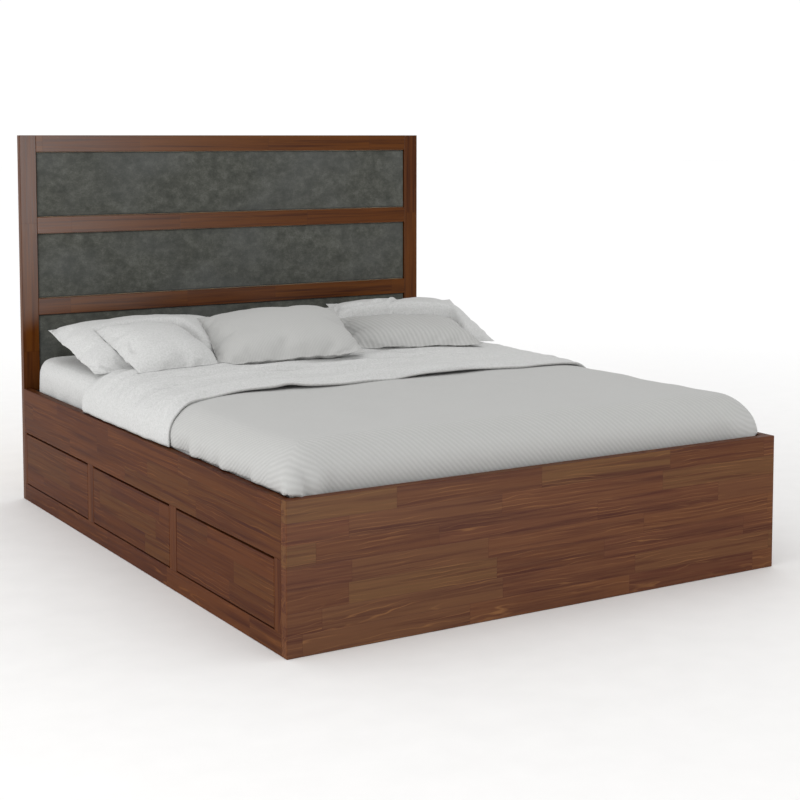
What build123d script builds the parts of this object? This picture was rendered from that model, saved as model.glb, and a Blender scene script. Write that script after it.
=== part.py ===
"""Platform bed with six storage drawers, an upholstered headboard, a mattress and made-up bedding.

Millimetres. The origin is on the floor under the middle of the bed, +Y points to the head and +Z up.
Left and right are as seen from the foot end, so left is the -X side.
"""

import os

from build123d import *

# Overall size
BED_W = 1680
BED_L = 2100
BOARD_TOP = 408
HEADBOARD_TOP = 1326

# Boards
BOARD_T = 28
FOOTBOARD_T = 30
EASE = 1.5
STILE_EASE = 1
HALF_W = BED_W / 2
HEAD_Y = BED_L / 2 - BOARD_T
FOOT_Y = -BED_L / 2 + FOOTBOARD_T
SIDE_X = HALF_W - BOARD_T

# Headboard: posts, cross rails and three upholstered pads on plywood
POST_W = 60
RAIL_H = 60
PAD_H = 236
PAD_GAP = 1.5
PAD_T = 13
PAD_RECESS = 1
PAD_BOARD_T = 8
BASE_BOARD_Z = 60
RAIL_W = BED_W - 2 * POST_W
PAD_PITCH = PAD_H + RAIL_H
CROSS_RAIL_Z = [HEADBOARD_TOP - RAIL_H - PAD_PITCH * row for row in (1, 2, 3)]

# Sides: a plinth rail, stiles and a deep side board frame three drawer openings
PLINTH_TOP = 60
OPENING_TOP = 250
HEAD_STILE = 20
FOOT_STILE = 38
DIVIDER = 50
ROWS = ("head", "middle", "foot")
BAY_L = (HEAD_Y - FOOT_Y - HEAD_STILE - FOOT_STILE - 2 * DIVIDER) / len(ROWS)
HEAD_BAY_Y = HEAD_Y - HEAD_STILE - BAY_L / 2
BAYS = {row: HEAD_BAY_Y - (BAY_L + DIVIDER) * place for place, row in enumerate(ROWS)}
SIDES = {"left": -1, "right": 1}

# Drawers
FRONT_T = 20
FRONT_SIDE_GAP = 1.5
FRONT_LOW_GAP = 4
FRONT_TOP_GAP = 6
BOX_DEPTH = 650
BOX_Z = 78
BOX_H = 144
BOX_WALL = 15
BOTTOM_T = 6
BOTTOM_RISE = 10
GROOVE = 7
JOINT = 0.2
FRONT_BACK_X = HALF_W - FRONT_T
BOX_END_X = FRONT_BACK_X - BOX_DEPTH

# Telescopic drawer slides: three nested channels of sheet steel, as (start, end, half height) across the
# gap. They fit between the drawer box and the edge of the opening, so that they run out past the stiles.
SLIDE_GAP = 13
BOX_L = BAY_L - 2 * SLIDE_GAP
SLIDE_L = 600
SLIDE_Z = 150
SHEET = 1.5
SLIDE_SETBACK = 2
SLIDE_FRONT_X = SIDE_X - SLIDE_SETBACK
OUTER_CHANNEL = (0, 9, 22.5)
MIDDLE_CHANNEL = (3, 11, 19.5)
INNER_CHANNEL = (6, SLIDE_GAP, 16.5)

# Inner structure that carries the slides and the mattress
PARTITION_TOP = 255
PARTITION_T = 20
BATTEN_H = 60
CENTRE_T = 22
SLAT_TOP = 320
SLAT_T = 20
SLAT_W = 70
SLAT_COUNT = 14
SLAT_EASE = 3
SLAT_END_GAP = 2
SLAT_L = 2 * (SIDE_X - SLAT_END_GAP)
LEDGER_W = 30
LEDGER_H = 40
LEDGER_END_GAP = 1
LEDGER_TOP = SLAT_TOP - SLAT_T

# Corner brackets and their screws
BRACKET_LEG = 40
BRACKET_T = 3
BRACKET_Z = 330
BRACKET_H = 70
SCREW_R = 2.5
SCREW_HOLE_R = 2.6
SCREW_LENGTH = 22
HEAD_R = 5
HEAD_T = 2.5
SCREW_Z = (BRACKET_Z + 15, BRACKET_Z + BRACKET_H - 15)
SCREW_ALONG = 24

# Mattress and duvet
MATTRESS_W = 1600
MATTRESS_L = 2000
MATTRESS_H = 202
MATTRESS_Y = 14
MATTRESS_CORNER = 70
MATTRESS_EDGE = 35
MATTRESS_TOP = SLAT_TOP + MATTRESS_H
SOFT_GAP = 0.4
DUVET_Z = BOARD_TOP + 0.6
DUVET_FOOT_GAP = 4
DUVET_T = 15
DUVET_HALF_W = 820
DUVET_FOOT_Y = FOOT_Y + DUVET_FOOT_GAP
DUVET_HEAD_Y = 430
TURNBACK_FOOT_Y = -210
TURNBACK_HALF_W = 823
DUVET_TOP = MATTRESS_TOP + DUVET_T
TURNBACK_TOP = DUVET_TOP + DUVET_T
DUVET_ROUND = 45
DUVET_FOOT_ROUND = 38

# Pillows: centre, turn about Z, tilt about the long edge, width, depth, height above and below the outline
PILLOWS = {
    "pillow_back_left": ((-478, 640, 586), 0, 12, 640, 470, 70, 30),
    "pillow_front_left": ((-525, 465, 598), -8, 12, 360, 440, 62, 30),
    "pillow_centre": ((-104, 430, 620), -15, 15, 505, 465, 64, 34),
    "pillow_back_right": ((540, 628, 600), -9, 14, 520, 465, 66, 30),
    "pillow_front_right": ((434, 460, 586), -16, 6, 462, 470, 44, 28),
}
CROWN_SHARE = 0.5
PILLOW_CORNER = 60


def board(low, high, mode=Mode.ADD):
    """Puts one box between two corners into the piece being built."""
    size = [end - start for start, end in zip(low, high)]
    with Locations(low):
        return Box(*size, align=(Align.MIN, Align.MIN, Align.MIN), mode=mode)


def side_board(side, depths, low, high, mode=Mode.ADD):
    """Like board, with X counted outwards from the middle of the bed on the side given."""
    near, far = sorted(side * depth for depth in depths)
    return board((near, *low), (far, *high), mode)


def end_face(end):
    """Y of the headboard's or the footboard's inner face."""
    return HEAD_Y if end > 0 else FOOT_Y


def side_screws(side, end):
    """Planes at the screws on a corner bracket's side board leg, with Z pointing out of the board."""
    x = side * (SIDE_X - BRACKET_T)
    y = end_face(end) - end * SCREW_ALONG
    return [Plane((x, y, z), x_dir=(0, 1, 0), z_dir=(-side, 0, 0)) for z in SCREW_Z]


def end_screws(side, end):
    """The same on the leg that lies on the headboard or the footboard."""
    x = side * (SIDE_X - SCREW_ALONG)
    y = end_face(end) - end * BRACKET_T
    return [Plane((x, y, z), x_dir=(1, 0, 0), z_dir=(0, -end, 0)) for z in SCREW_Z]


def pilot_holes(planes):
    """Cuts the holes for the screws at the planes given."""
    for plane in planes:
        with Locations(plane):
            Cylinder(SCREW_HOLE_R, 2 * SCREW_LENGTH, mode=Mode.SUBTRACT)


def save(piece, name):
    """Labels one finished piece and writes its STEP file."""
    piece.part.label = name
    export_step(piece.part, f"parts/{name}.step")


os.makedirs("parts", exist_ok=True)


# ---------------------------------------------------------------- headboard

for name, side in SIDES.items():
    with BuildPart() as post:
        side_board(side, (HALF_W - POST_W, HALF_W), (HEAD_Y, 0), (BED_L / 2, HEADBOARD_TOP))
        fillet(post.edges(), EASE)
        pilot_holes(end_screws(side, 1))
    save(post, f"headboard_post_{name}")

with BuildPart() as top_rail:
    board((-RAIL_W / 2, HEAD_Y, HEADBOARD_TOP - RAIL_H), (RAIL_W / 2, BED_L / 2, HEADBOARD_TOP))
    fillet(top_rail.edges(), EASE)
save(top_rail, "headboard_top_rail")

with BuildPart() as cross_rails:
    for rail_z in CROSS_RAIL_Z:
        board((-RAIL_W / 2, HEAD_Y, rail_z), (RAIL_W / 2, BED_L / 2, rail_z + RAIL_H))
    fillet(cross_rails.edges(), EASE)
save(cross_rails, "headboard_cross_rails")

with BuildPart() as base_board:
    board((-RAIL_W / 2, HEAD_Y, BASE_BOARD_Z), (RAIL_W / 2, BED_L / 2, CROSS_RAIL_Z[-1]))
    fillet(base_board.edges(), EASE)
save(base_board, "headboard_base_board")

PAD_FACE_Y = HEAD_Y + PAD_RECESS
PAD_BACK_Y = PAD_FACE_Y + PAD_T
PAD_HALF_W = RAIL_W / 2 - PAD_GAP
for name, rail_z in zip(("top", "middle", "bottom"), CROSS_RAIL_Z):
    pad_z = rail_z + RAIL_H
    with BuildPart() as pad:
        board((-PAD_HALF_W, PAD_FACE_Y, pad_z + PAD_GAP), (PAD_HALF_W, PAD_BACK_Y, pad_z + PAD_H - PAD_GAP))
        fillet(pad.faces().sort_by(Axis.Y)[0].edges(), PAD_T / 2)
    save(pad, f"headboard_pad_{name}")

with BuildPart() as pad_boards:
    for rail_z in CROSS_RAIL_Z:
        low = (-RAIL_W / 2, PAD_BACK_Y, rail_z + RAIL_H)
        board(low, (RAIL_W / 2, PAD_BACK_Y + PAD_BOARD_T, rail_z + PAD_PITCH))
save(pad_boards, "headboard_pad_boards")


# ---------------------------------------------------------------- foot and side boards

with BuildPart() as footboard:
    board((-HALF_W, -BED_L / 2, 0), (HALF_W, FOOT_Y, BOARD_TOP))
    fillet(footboard.edges(), EASE)
    for side in SIDES.values():
        pilot_holes(end_screws(side, -1))
save(footboard, "footboard")

for name, side in SIDES.items():
    with BuildPart() as deep_board:
        side_board(side, (SIDE_X, HALF_W), (FOOT_Y, OPENING_TOP), (HEAD_Y, BOARD_TOP))
        fillet(deep_board.edges().filter_by(Axis.Y), EASE)
        pilot_holes(side_screws(side, 1) + side_screws(side, -1))
    save(deep_board, f"side_board_{name}")

    with BuildPart() as plinth_rail:
        side_board(side, (SIDE_X, HALF_W), (FOOT_Y, 0), (HEAD_Y, PLINTH_TOP))
        fillet(plinth_rail.edges().filter_by(Axis.Y), EASE)
    save(plinth_rail, f"plinth_rail_{name}")

    with BuildPart() as stiles:
        edges = [HEAD_Y]
        for centre_y in BAYS.values():
            edges += [centre_y + BAY_L / 2, centre_y - BAY_L / 2]
        edges.append(FOOT_Y)
        for high_y, low_y in zip(edges[::2], edges[1::2]):
            side_board(side, (SIDE_X, HALF_W), (low_y, PLINTH_TOP), (high_y, OPENING_TOP))
        fillet(stiles.edges().filter_by(Axis.Z), STILE_EASE)
    save(stiles, f"stiles_{name}")


# ---------------------------------------------------------------- inner structure

with BuildPart() as centre_panel:
    board((-CENTRE_T / 2, FOOT_Y, 0), (CENTRE_T / 2, HEAD_Y, LEDGER_TOP))
save(centre_panel, "centre_panel")

# Upright panels between the drawers and at both ends. Battens bring the slides out to the edges of the
# openings.
SLIDE_FACE = BAY_L / 2
DIVIDER_Y = [centre_y - SLIDE_FACE - DIVIDER / 2 for centre_y in list(BAYS.values())[:-1]]
PANEL_Y = [HEAD_Y - PARTITION_T / 2, *DIVIDER_Y, FOOT_Y + PARTITION_T / 2]
with BuildPart() as partitions:
    for side in SIDES.values():
        for panel_y in PANEL_Y:
            low = (panel_y - PARTITION_T / 2, 0)
            side_board(side, (CENTRE_T / 2, SIDE_X), low, (panel_y + PARTITION_T / 2, PARTITION_TOP))
        for centre_y in BAYS.values():
            for end in (1, -1):
                slide_y = centre_y + end * SLIDE_FACE
                panel_faces = [panel_y - end * PARTITION_T / 2 for panel_y in PANEL_Y]
                panel_face_y = min(panel_faces, key=lambda y: abs(y - slide_y))
                if abs(panel_face_y - slide_y) > JOINT:
                    low_y, high_y = sorted((slide_y, panel_face_y - end * JOINT))
                    low = (low_y, SLIDE_Z - BATTEN_H / 2)
                    high = (high_y, SLIDE_Z + BATTEN_H / 2)
                    side_board(side, (SLIDE_FRONT_X - SLIDE_L, SIDE_X), low, high)
save(partitions, "partitions")

with BuildPart() as slat_ledgers:
    for side in SIDES.values():
        low = (FOOT_Y + LEDGER_END_GAP, LEDGER_TOP - LEDGER_H)
        side_board(side, (SIDE_X - LEDGER_W, SIDE_X), low, (HEAD_Y - LEDGER_END_GAP, LEDGER_TOP))
save(slat_ledgers, "slat_ledgers")

SLAT_PITCH = (HEAD_Y - FOOT_Y - SLAT_W) / SLAT_COUNT
with BuildPart() as slats:
    for number in range(SLAT_COUNT):
        slat_y = FOOT_Y + SLAT_PITCH * (number + 0.5)
        board((-SLAT_L / 2, slat_y, LEDGER_TOP), (SLAT_L / 2, slat_y + SLAT_W, SLAT_TOP))
    fillet(slats.edges().filter_by(Axis.X), SLAT_EASE)
save(slats, "slats")


# ---------------------------------------------------------------- corner brackets

CORNERS = [(side, end) for side in SIDES.values() for end in (1, -1)]
with BuildPart() as corner_brackets:
    for side, end in CORNERS:
        inner_y = end_face(end)
        for reach, depth in ((BRACKET_LEG, BRACKET_T), (BRACKET_T, BRACKET_LEG)):
            low_y, high_y = sorted((inner_y, inner_y - end * depth))
            side_board(side, (SIDE_X - reach, SIDE_X), (low_y, BRACKET_Z), (high_y, BRACKET_Z + BRACKET_H))
        pilot_holes(side_screws(side, end) + end_screws(side, end))
save(corner_brackets, "corner_brackets")

with BuildPart() as bracket_screws:
    for side, end in CORNERS:
        for plane in side_screws(side, end) + end_screws(side, end):
            with Locations(plane):
                Cylinder(HEAD_R, HEAD_T, align=(Align.CENTER, Align.CENTER, Align.MIN))
                Cylinder(SCREW_R, SCREW_LENGTH, align=(Align.CENTER, Align.CENTER, Align.MAX))
save(bracket_screws, "bracket_screws")


# ---------------------------------------------------------------- drawer slides


def channel(side, centre_y, end, section, opens_to_drawer):
    """Adds one steel channel along X. The section is counted from the partition towards the drawer."""
    start, stop, half_h = section
    web = (start, start + SHEET) if opens_to_drawer else (stop - SHEET, stop)
    strips = [(*web, -half_h, half_h)]
    for low_z, high_z in ((-half_h, SHEET - half_h), (half_h - SHEET, half_h)):
        strips.append((start, stop, low_z, high_z))
    for near, far, low_z, high_z in strips:
        low_y, high_y = sorted(centre_y + end * (SLIDE_FACE - reach) for reach in (near, far))
        low = (low_y, SLIDE_Z + low_z)
        side_board(side, (SLIDE_FRONT_X - SLIDE_L, SLIDE_FRONT_X), low, (high_y, SLIDE_Z + high_z))


with BuildPart() as slide_outers:
    for side in SIDES.values():
        for centre_y in BAYS.values():
            for end in (1, -1):
                channel(side, centre_y, end, OUTER_CHANNEL, opens_to_drawer=True)
save(slide_outers, "slide_outer_rails")


# ---------------------------------------------------------------- drawers

for side_name, side in SIDES.items():
    for row, centre_y in BAYS.items():
        place = f"{side_name}_{row}"

        with BuildPart() as drawer_front:
            half_l = BAY_L / 2 - FRONT_SIDE_GAP
            low = (centre_y - half_l, PLINTH_TOP + FRONT_LOW_GAP)
            high = (centre_y + half_l, OPENING_TOP - FRONT_TOP_GAP)
            side_board(side, (FRONT_BACK_X, HALF_W), low, high)
            fillet(drawer_front.edges(), EASE)
        save(drawer_front, f"drawer_front_{place}")

        half_box = BOX_L / 2
        bottom_z = BOX_Z + BOTTOM_RISE
        with BuildPart() as walls:
            for end in (1, -1):
                low_y, high_y = sorted((centre_y + end * half_box, centre_y + end * (half_box - BOX_WALL)))
                side_board(side, (BOX_END_X, FRONT_BACK_X), (low_y, BOX_Z), (high_y, BOX_Z + BOX_H))
            inner = half_box - BOX_WALL - JOINT
            for near in (BOX_END_X, FRONT_BACK_X - BOX_WALL):
                low = (centre_y - inner, BOX_Z)
                side_board(side, (near, near + BOX_WALL), low, (centre_y + inner, BOX_Z + BOX_H))
            fillet(walls.faces().group_by(Axis.Z)[-1].edges().filter_by(Axis.Y), EASE)
            half_bottom = half_box - BOX_WALL + GROOVE
            bottom_x = (BOX_END_X + BOX_WALL - GROOVE, FRONT_BACK_X - BOX_WALL + GROOVE)
            low = (centre_y - half_bottom, bottom_z)
            high = (centre_y + half_bottom, bottom_z + BOTTOM_T)
            side_board(side, bottom_x, low, high, Mode.SUBTRACT)
        save(walls, f"drawer_walls_{place}")

        with BuildPart() as bottom:
            side_board(side, bottom_x, low, high)
        save(bottom, f"drawer_bottom_{place}")

        with BuildPart() as inner_rails:
            for end in (1, -1):
                channel(side, centre_y, end, INNER_CHANNEL, opens_to_drawer=False)
        save(inner_rails, f"slide_inner_rails_{place}")

        with BuildPart() as middle_rails:
            for end in (1, -1):
                channel(side, centre_y, end, MIDDLE_CHANNEL, opens_to_drawer=True)
        save(middle_rails, f"slide_middle_rails_{place}")


# ---------------------------------------------------------------- mattress and duvet

with BuildPart() as mattress:
    with BuildSketch(Plane.XY.offset(SLAT_TOP)):
        with Locations((0, MATTRESS_Y)):
            RectangleRounded(MATTRESS_W, MATTRESS_L, MATTRESS_CORNER)
    extrude(amount=MATTRESS_H)
    fillet(mattress.edges().group_by(Axis.Z)[-1], MATTRESS_EDGE)
save(mattress, "mattress")

with BuildPart() as duvet:
    with BuildSketch(Plane.XZ.offset(-DUVET_HEAD_Y)) as across:
        with Locations((0, DUVET_Z)):
            Rectangle(2 * DUVET_HALF_W, DUVET_TOP - DUVET_Z, align=(Align.CENTER, Align.MIN))
        fillet(across.vertices().group_by(Axis.Z)[-1], DUVET_ROUND)
    extrude(amount=DUVET_HEAD_Y - DUVET_FOOT_Y)
    foot_edges = duvet.faces().sort_by(Axis.Y)[0].edges()
    fillet(foot_edges.sort_by(Axis.Z)[1:], DUVET_FOOT_ROUND)
    with BuildSketch(Plane.XZ.offset(-DUVET_HEAD_Y)) as turned_back:
        with Locations((0, DUVET_Z)):
            Rectangle(2 * TURNBACK_HALF_W, TURNBACK_TOP - DUVET_Z, align=(Align.CENTER, Align.MIN))
        fillet(turned_back.vertices().group_by(Axis.Z)[-1], DUVET_ROUND)
    extrude(amount=DUVET_HEAD_Y - TURNBACK_FOOT_Y)
    with BuildSketch(Plane.XY.offset(SLAT_TOP)):
        with Locations((0, MATTRESS_Y)):
            RectangleRounded(MATTRESS_W + 2 * SOFT_GAP, MATTRESS_L + 2 * SOFT_GAP, MATTRESS_CORNER)
    extrude(amount=MATTRESS_H + SOFT_GAP, mode=Mode.SUBTRACT)
save(duvet, "duvet")


# ---------------------------------------------------------------- pillows


def pillow(spec, grow=0, mode=Mode.ADD):
    """Adds a pillow: a rounded outline in a tilted plane, tapering to smaller crowns above and below."""
    centre, turn, tilt, width, depth, above, below = spec
    x_dir = Vector(1, 0, 0).rotate(Axis.Z, turn)
    z_dir = Vector(0, 0, 1).rotate(Axis((0, 0, 0), x_dir), tilt)
    outline_plane = Plane(origin=centre, x_dir=x_dir, z_dir=z_dir)
    sections = []
    for offset, share in ((-below - grow, CROWN_SHARE), (0, 1), (above + grow, CROWN_SHARE)):
        with BuildSketch(outline_plane.offset(offset), mode=Mode.PRIVATE) as section:
            RectangleRounded(width * share + 2 * grow, depth * share + 2 * grow, PILLOW_CORNER * share)
        sections.append(section.sketch)
    return loft(sections=sections, ruled=True, mode=mode)


# Each pillow is dented by the pillows that lie on it and by the bedding below
PRESSED_BY = {
    "pillow_back_left": ("pillow_front_left", "pillow_centre"),
    "pillow_front_left": ("pillow_centre",),
    "pillow_centre": (),
    "pillow_back_right": ("pillow_centre", "pillow_front_right"),
    "pillow_front_right": ("pillow_centre",),
}
BEDDING = ((DUVET_HEAD_Y + SOFT_GAP, TURNBACK_TOP + SOFT_GAP), (HEAD_Y, MATTRESS_TOP + SOFT_GAP))
for name, spec in PILLOWS.items():
    with BuildPart() as cushion:
        pillow(spec)
        for presser in PRESSED_BY[name]:
            pillow(PILLOWS[presser], SOFT_GAP, Mode.SUBTRACT)
        for head_y, top_z in BEDDING:
            board((-HALF_W, FOOT_Y, SLAT_TOP), (HALF_W, head_y, top_z), Mode.SUBTRACT)
    save(cushion, name)
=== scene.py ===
import math

import bpy
import numpy as np
from mathutils import Euler, Matrix, Vector
from mathutils.bvhtree import BVHTree


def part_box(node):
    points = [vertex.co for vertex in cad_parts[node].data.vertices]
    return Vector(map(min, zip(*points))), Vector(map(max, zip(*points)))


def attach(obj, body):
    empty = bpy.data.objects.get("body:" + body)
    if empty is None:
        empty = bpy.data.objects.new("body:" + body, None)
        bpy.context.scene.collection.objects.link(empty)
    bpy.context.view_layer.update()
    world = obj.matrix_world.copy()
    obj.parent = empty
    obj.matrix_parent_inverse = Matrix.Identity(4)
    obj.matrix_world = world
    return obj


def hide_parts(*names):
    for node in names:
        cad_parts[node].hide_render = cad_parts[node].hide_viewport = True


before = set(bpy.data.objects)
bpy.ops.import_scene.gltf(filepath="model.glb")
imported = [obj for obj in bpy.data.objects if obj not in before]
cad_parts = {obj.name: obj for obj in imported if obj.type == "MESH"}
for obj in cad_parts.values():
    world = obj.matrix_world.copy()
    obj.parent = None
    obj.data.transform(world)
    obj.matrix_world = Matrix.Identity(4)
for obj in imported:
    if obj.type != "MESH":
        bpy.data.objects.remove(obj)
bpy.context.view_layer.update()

SCENE = bpy.context.scene

# ---------------------------------------------------------------- places taken from the frame

SIDE_BOARD_LOW, SIDE_BOARD_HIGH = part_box("side_board_right")
FOOTBOARD_LOW, FOOTBOARD_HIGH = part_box("footboard")
MATTRESS_LOW, MATTRESS_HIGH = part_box("mattress")
DUVET_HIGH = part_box("duvet")[1]
BOARD_TOP = SIDE_BOARD_HIGH.z
HEAD_Y = SIDE_BOARD_HIGH.y
FOOT_Y = FOOTBOARD_HIGH.y
SIDE_X = SIDE_BOARD_LOW.x
MATTRESS_TOP = MATTRESS_HIGH.z

# Cloth thicknesses, and the distance between the duvet's layers where it is turned back
SHEET_T = 0.002
DUVET_T = 0.011
LAYER_PITCH = 0.015


# ---------------------------------------------------------------- camera, light and floor


def make_camera():
    """The camera at the photograph's angle: from the left of the foot end, at chest height."""
    data = bpy.data.cameras.new("camera")
    data.sensor_width = 36
    data.lens = 70.986
    data.shift_y = -0.175
    camera = bpy.data.objects.new("camera", data)
    look_down, look_right = 4.512, 31.357
    camera.location = (-2.627, -4.5336, 1.3251)
    camera.rotation_euler = Euler((math.radians(90 - look_down), 0, math.radians(-look_right)))
    SCENE.collection.objects.link(camera)
    SCENE.camera = camera


def soft_light(name, place, aim, size, power, sheen_only=False):
    """A soft box that the camera doesn't see."""
    data = bpy.data.lights.new(name, "AREA")
    data.shape = "RECTANGLE"
    data.size, data.size_y = size
    data.energy = power
    light = bpy.data.objects.new(name, data)
    light.location = place
    light.rotation_euler = (Vector(aim) - Vector(place)).to_track_quat("-Z", "Y").to_euler()
    light.visible_camera = False
    light.visible_diffuse = not sheen_only
    SCENE.collection.objects.link(light)


def make_studio():
    """A pale floor under even white light, brighter from the left, and a sheen on the headboard."""
    SCENE.view_settings.view_transform = "Standard"
    world = bpy.data.worlds.new("studio")
    world.use_nodes = True
    background = world.node_tree.nodes["Background"]
    background.inputs["Color"].default_value = (1, 1, 1, 1)
    background.inputs["Strength"].default_value = 1.02
    SCENE.world = world
    soft_light("key_left", (-6.5, -1.2, 2.0), (0, -0.2, 0.3), (3, 2.5), 125)
    soft_light("fill_foot", (1.0, -6.5, 2.2), (0, -0.5, 0.3), (3, 2), 8)
    soft_light("sheen_right", (0.85, -5.6, 1.05), (0.85, 0, 1.05), (1.8, 1.5), 560, sheen_only=True)
    mesh = bpy.data.meshes.new("floor")
    reach = 60
    corners = [(-reach, -reach, 0), (reach, -reach, 0), (reach, reach, 0), (-reach, reach, 0)]
    mesh.from_pydata(corners, [], [(0, 1, 2, 3)])
    floor = bpy.data.objects.new("floor", mesh)
    # Just below the bed's feet, so that the two don't share a plane
    floor.location.z = -0.0005
    SCENE.collection.objects.link(floor)
    paint = Shader("pale_floor")
    place = paint.place()
    grain = paint.noise(place, 9, detail=4)
    near = paint.ramp(grain, ((0.3, "edeceb"), (0.7, "f0efee")))
    distance = paint.node("VectorMath", {0: place}, operation="LENGTH").outputs["Value"]
    far = paint.span(distance, 1.3, 5.5)
    paint.set("Base Color", paint.mix(far, near, colour("fefefe")))
    paint.set("Roughness", 0.75)
    paint.set("Specular IOR Level", 0.1)
    floor.data.materials.append(paint.material)


# ---------------------------------------------------------------- materials


def linear(part):
    """One display value from 0 to 1, as linear light."""
    return part / 12.92 if part < 0.04045 else ((part + 0.055) / 1.055) ** 2.4


def colour(code):
    """A linear colour from six hexadecimal digits."""
    return (*[linear(int(code[start : start + 2], 16) / 255) for start in (0, 2, 4)], 1)


class Shader:
    """One node material. Each call adds a node, and most return its output socket."""

    def __init__(self, name):
        self.material = bpy.data.materials.new(name)
        self.material.use_nodes = True
        self.tree = self.material.node_tree
        self.surface = self.tree.nodes["Principled BSDF"]

    def feed(self, socket, value):
        if isinstance(value, bpy.types.NodeSocket):
            self.tree.links.new(value, socket)
        else:
            socket.default_value = value

    def node(self, kind, inputs, **settings):
        node = self.tree.nodes.new("ShaderNode" + kind)
        for key, value in settings.items():
            setattr(node, key, value)
        for key, value in inputs.items():
            self.feed(node.inputs[key], value)
        return node

    def set(self, name, value):
        self.feed(self.surface.inputs[name], value)

    def place(self):
        return self.node("TexCoord", {}).outputs["Object"]

    def cloth(self):
        """Where a point is on the flat cut of the fabric, in metres."""
        return self.node("Attribute", {}, attribute_name="cloth").outputs["Vector"]

    def math(self, operation, first, second=0.0, third=0.0):
        return self.node("Math", {0: first, 1: second, 2: third}, operation=operation).outputs[0]

    def times(self, first, second):
        return self.math("MULTIPLY", first, second)

    def plus(self, first, second):
        return self.math("ADD", first, second)

    def minus(self, first, second):
        return self.math("SUBTRACT", first, second)

    def split(self, vector):
        return self.node("SeparateXYZ", {0: vector}).outputs

    def join(self, x, y, z):
        return self.node("CombineXYZ", {0: x, 1: y, 2: z}).outputs[0]

    def stretch(self, vector, scale):
        return self.node("VectorMath", {0: vector, 1: scale}, operation="MULTIPLY").outputs[0]

    def noise(self, vector, scale, detail=3.0, roughness=0.5, distortion=0.0):
        inputs = {"Vector": vector, "Scale": scale, "Detail": detail, "Roughness": roughness}
        return self.node("TexNoise", {**inputs, "Distortion": distortion}).outputs[0]

    def span(self, value, low, high, to_low=0.0, to_high=1.0):
        inputs = {"Value": value, 1: low, 2: high, 3: to_low, 4: to_high}
        return self.node("MapRange", inputs).outputs[0]

    def mix(self, factor, first, second, blend="MIX"):
        inputs = {0: factor, 6: first, 7: second}
        return self.node("Mix", inputs, data_type="RGBA", blend_type=blend).outputs[2]

    def ramp(self, factor, stops, interpolation="LINEAR"):
        node = self.node("ValToRGB", {0: factor})
        node.color_ramp.interpolation = interpolation
        elements = node.color_ramp.elements
        while len(elements) < len(stops):
            elements.new(1)
        for element, (position, code) in zip(elements, stops):
            element.position = position
            element.color = colour(code)
        return node.outputs[0]

    def bump(self, height, depth, strength=1.0):
        """Relief of the given depth in metres."""
        node = self.node("Bump", {"Height": height, "Distance": depth, "Strength": strength})
        self.set("Normal", node.outputs[0])


def timber_axes(shader, along, across):
    """A board's coordinates in metres: along the grain, across the staves and through it."""
    parts = shader.split(shader.place())
    through = next(axis for axis in "XYZ" if axis not in (along, across))
    return [parts[axis] for axis in (along, across, through)]


def growth_rings(shader, along, across, through, chance):
    """Rings round a pith that lies slantwise under each stave, from 0 to 1 over each ring."""
    ring_width = 0.0105
    red, green, blue = chance
    heart = shader.math("MULTIPLY_ADD", shader.minus(green, 0.5), 0.12, across)
    lean = shader.times(along, shader.span(red, 0, 1, -0.07, 0.07))
    below = shader.plus(shader.math("MULTIPLY_ADD", blue, 0.06, 0.012), through)
    below = shader.plus(below, lean)
    wander = shader.join(shader.times(along, 2.6), shader.times(across, 16), through)
    sway = shader.minus(shader.noise(wander, 1.0, detail=3, roughness=0.6), 0.5)
    square = shader.plus(shader.math("POWER", heart, 2), shader.math("POWER", below, 2))
    radius = shader.math("MULTIPLY_ADD", sway, 0.04, shader.math("SQRT", square))
    return shader.math("FRACT", shader.math("DIVIDE", radius, ring_width))


# Lowest and highest roughness, specular level, and the relief's depth and strength
FINISHES = {
    "satin": (0.42, 0.55, 0.06, 0.0003, 0.4),
    "gloss": (0.27, 0.34, 0.065, 0.0002, 0.3),
    "bare": (0.62, 0.8, 0.25, 0.0005, 0.6),
}
BLOCK_LENGTH = 0.47


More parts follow.
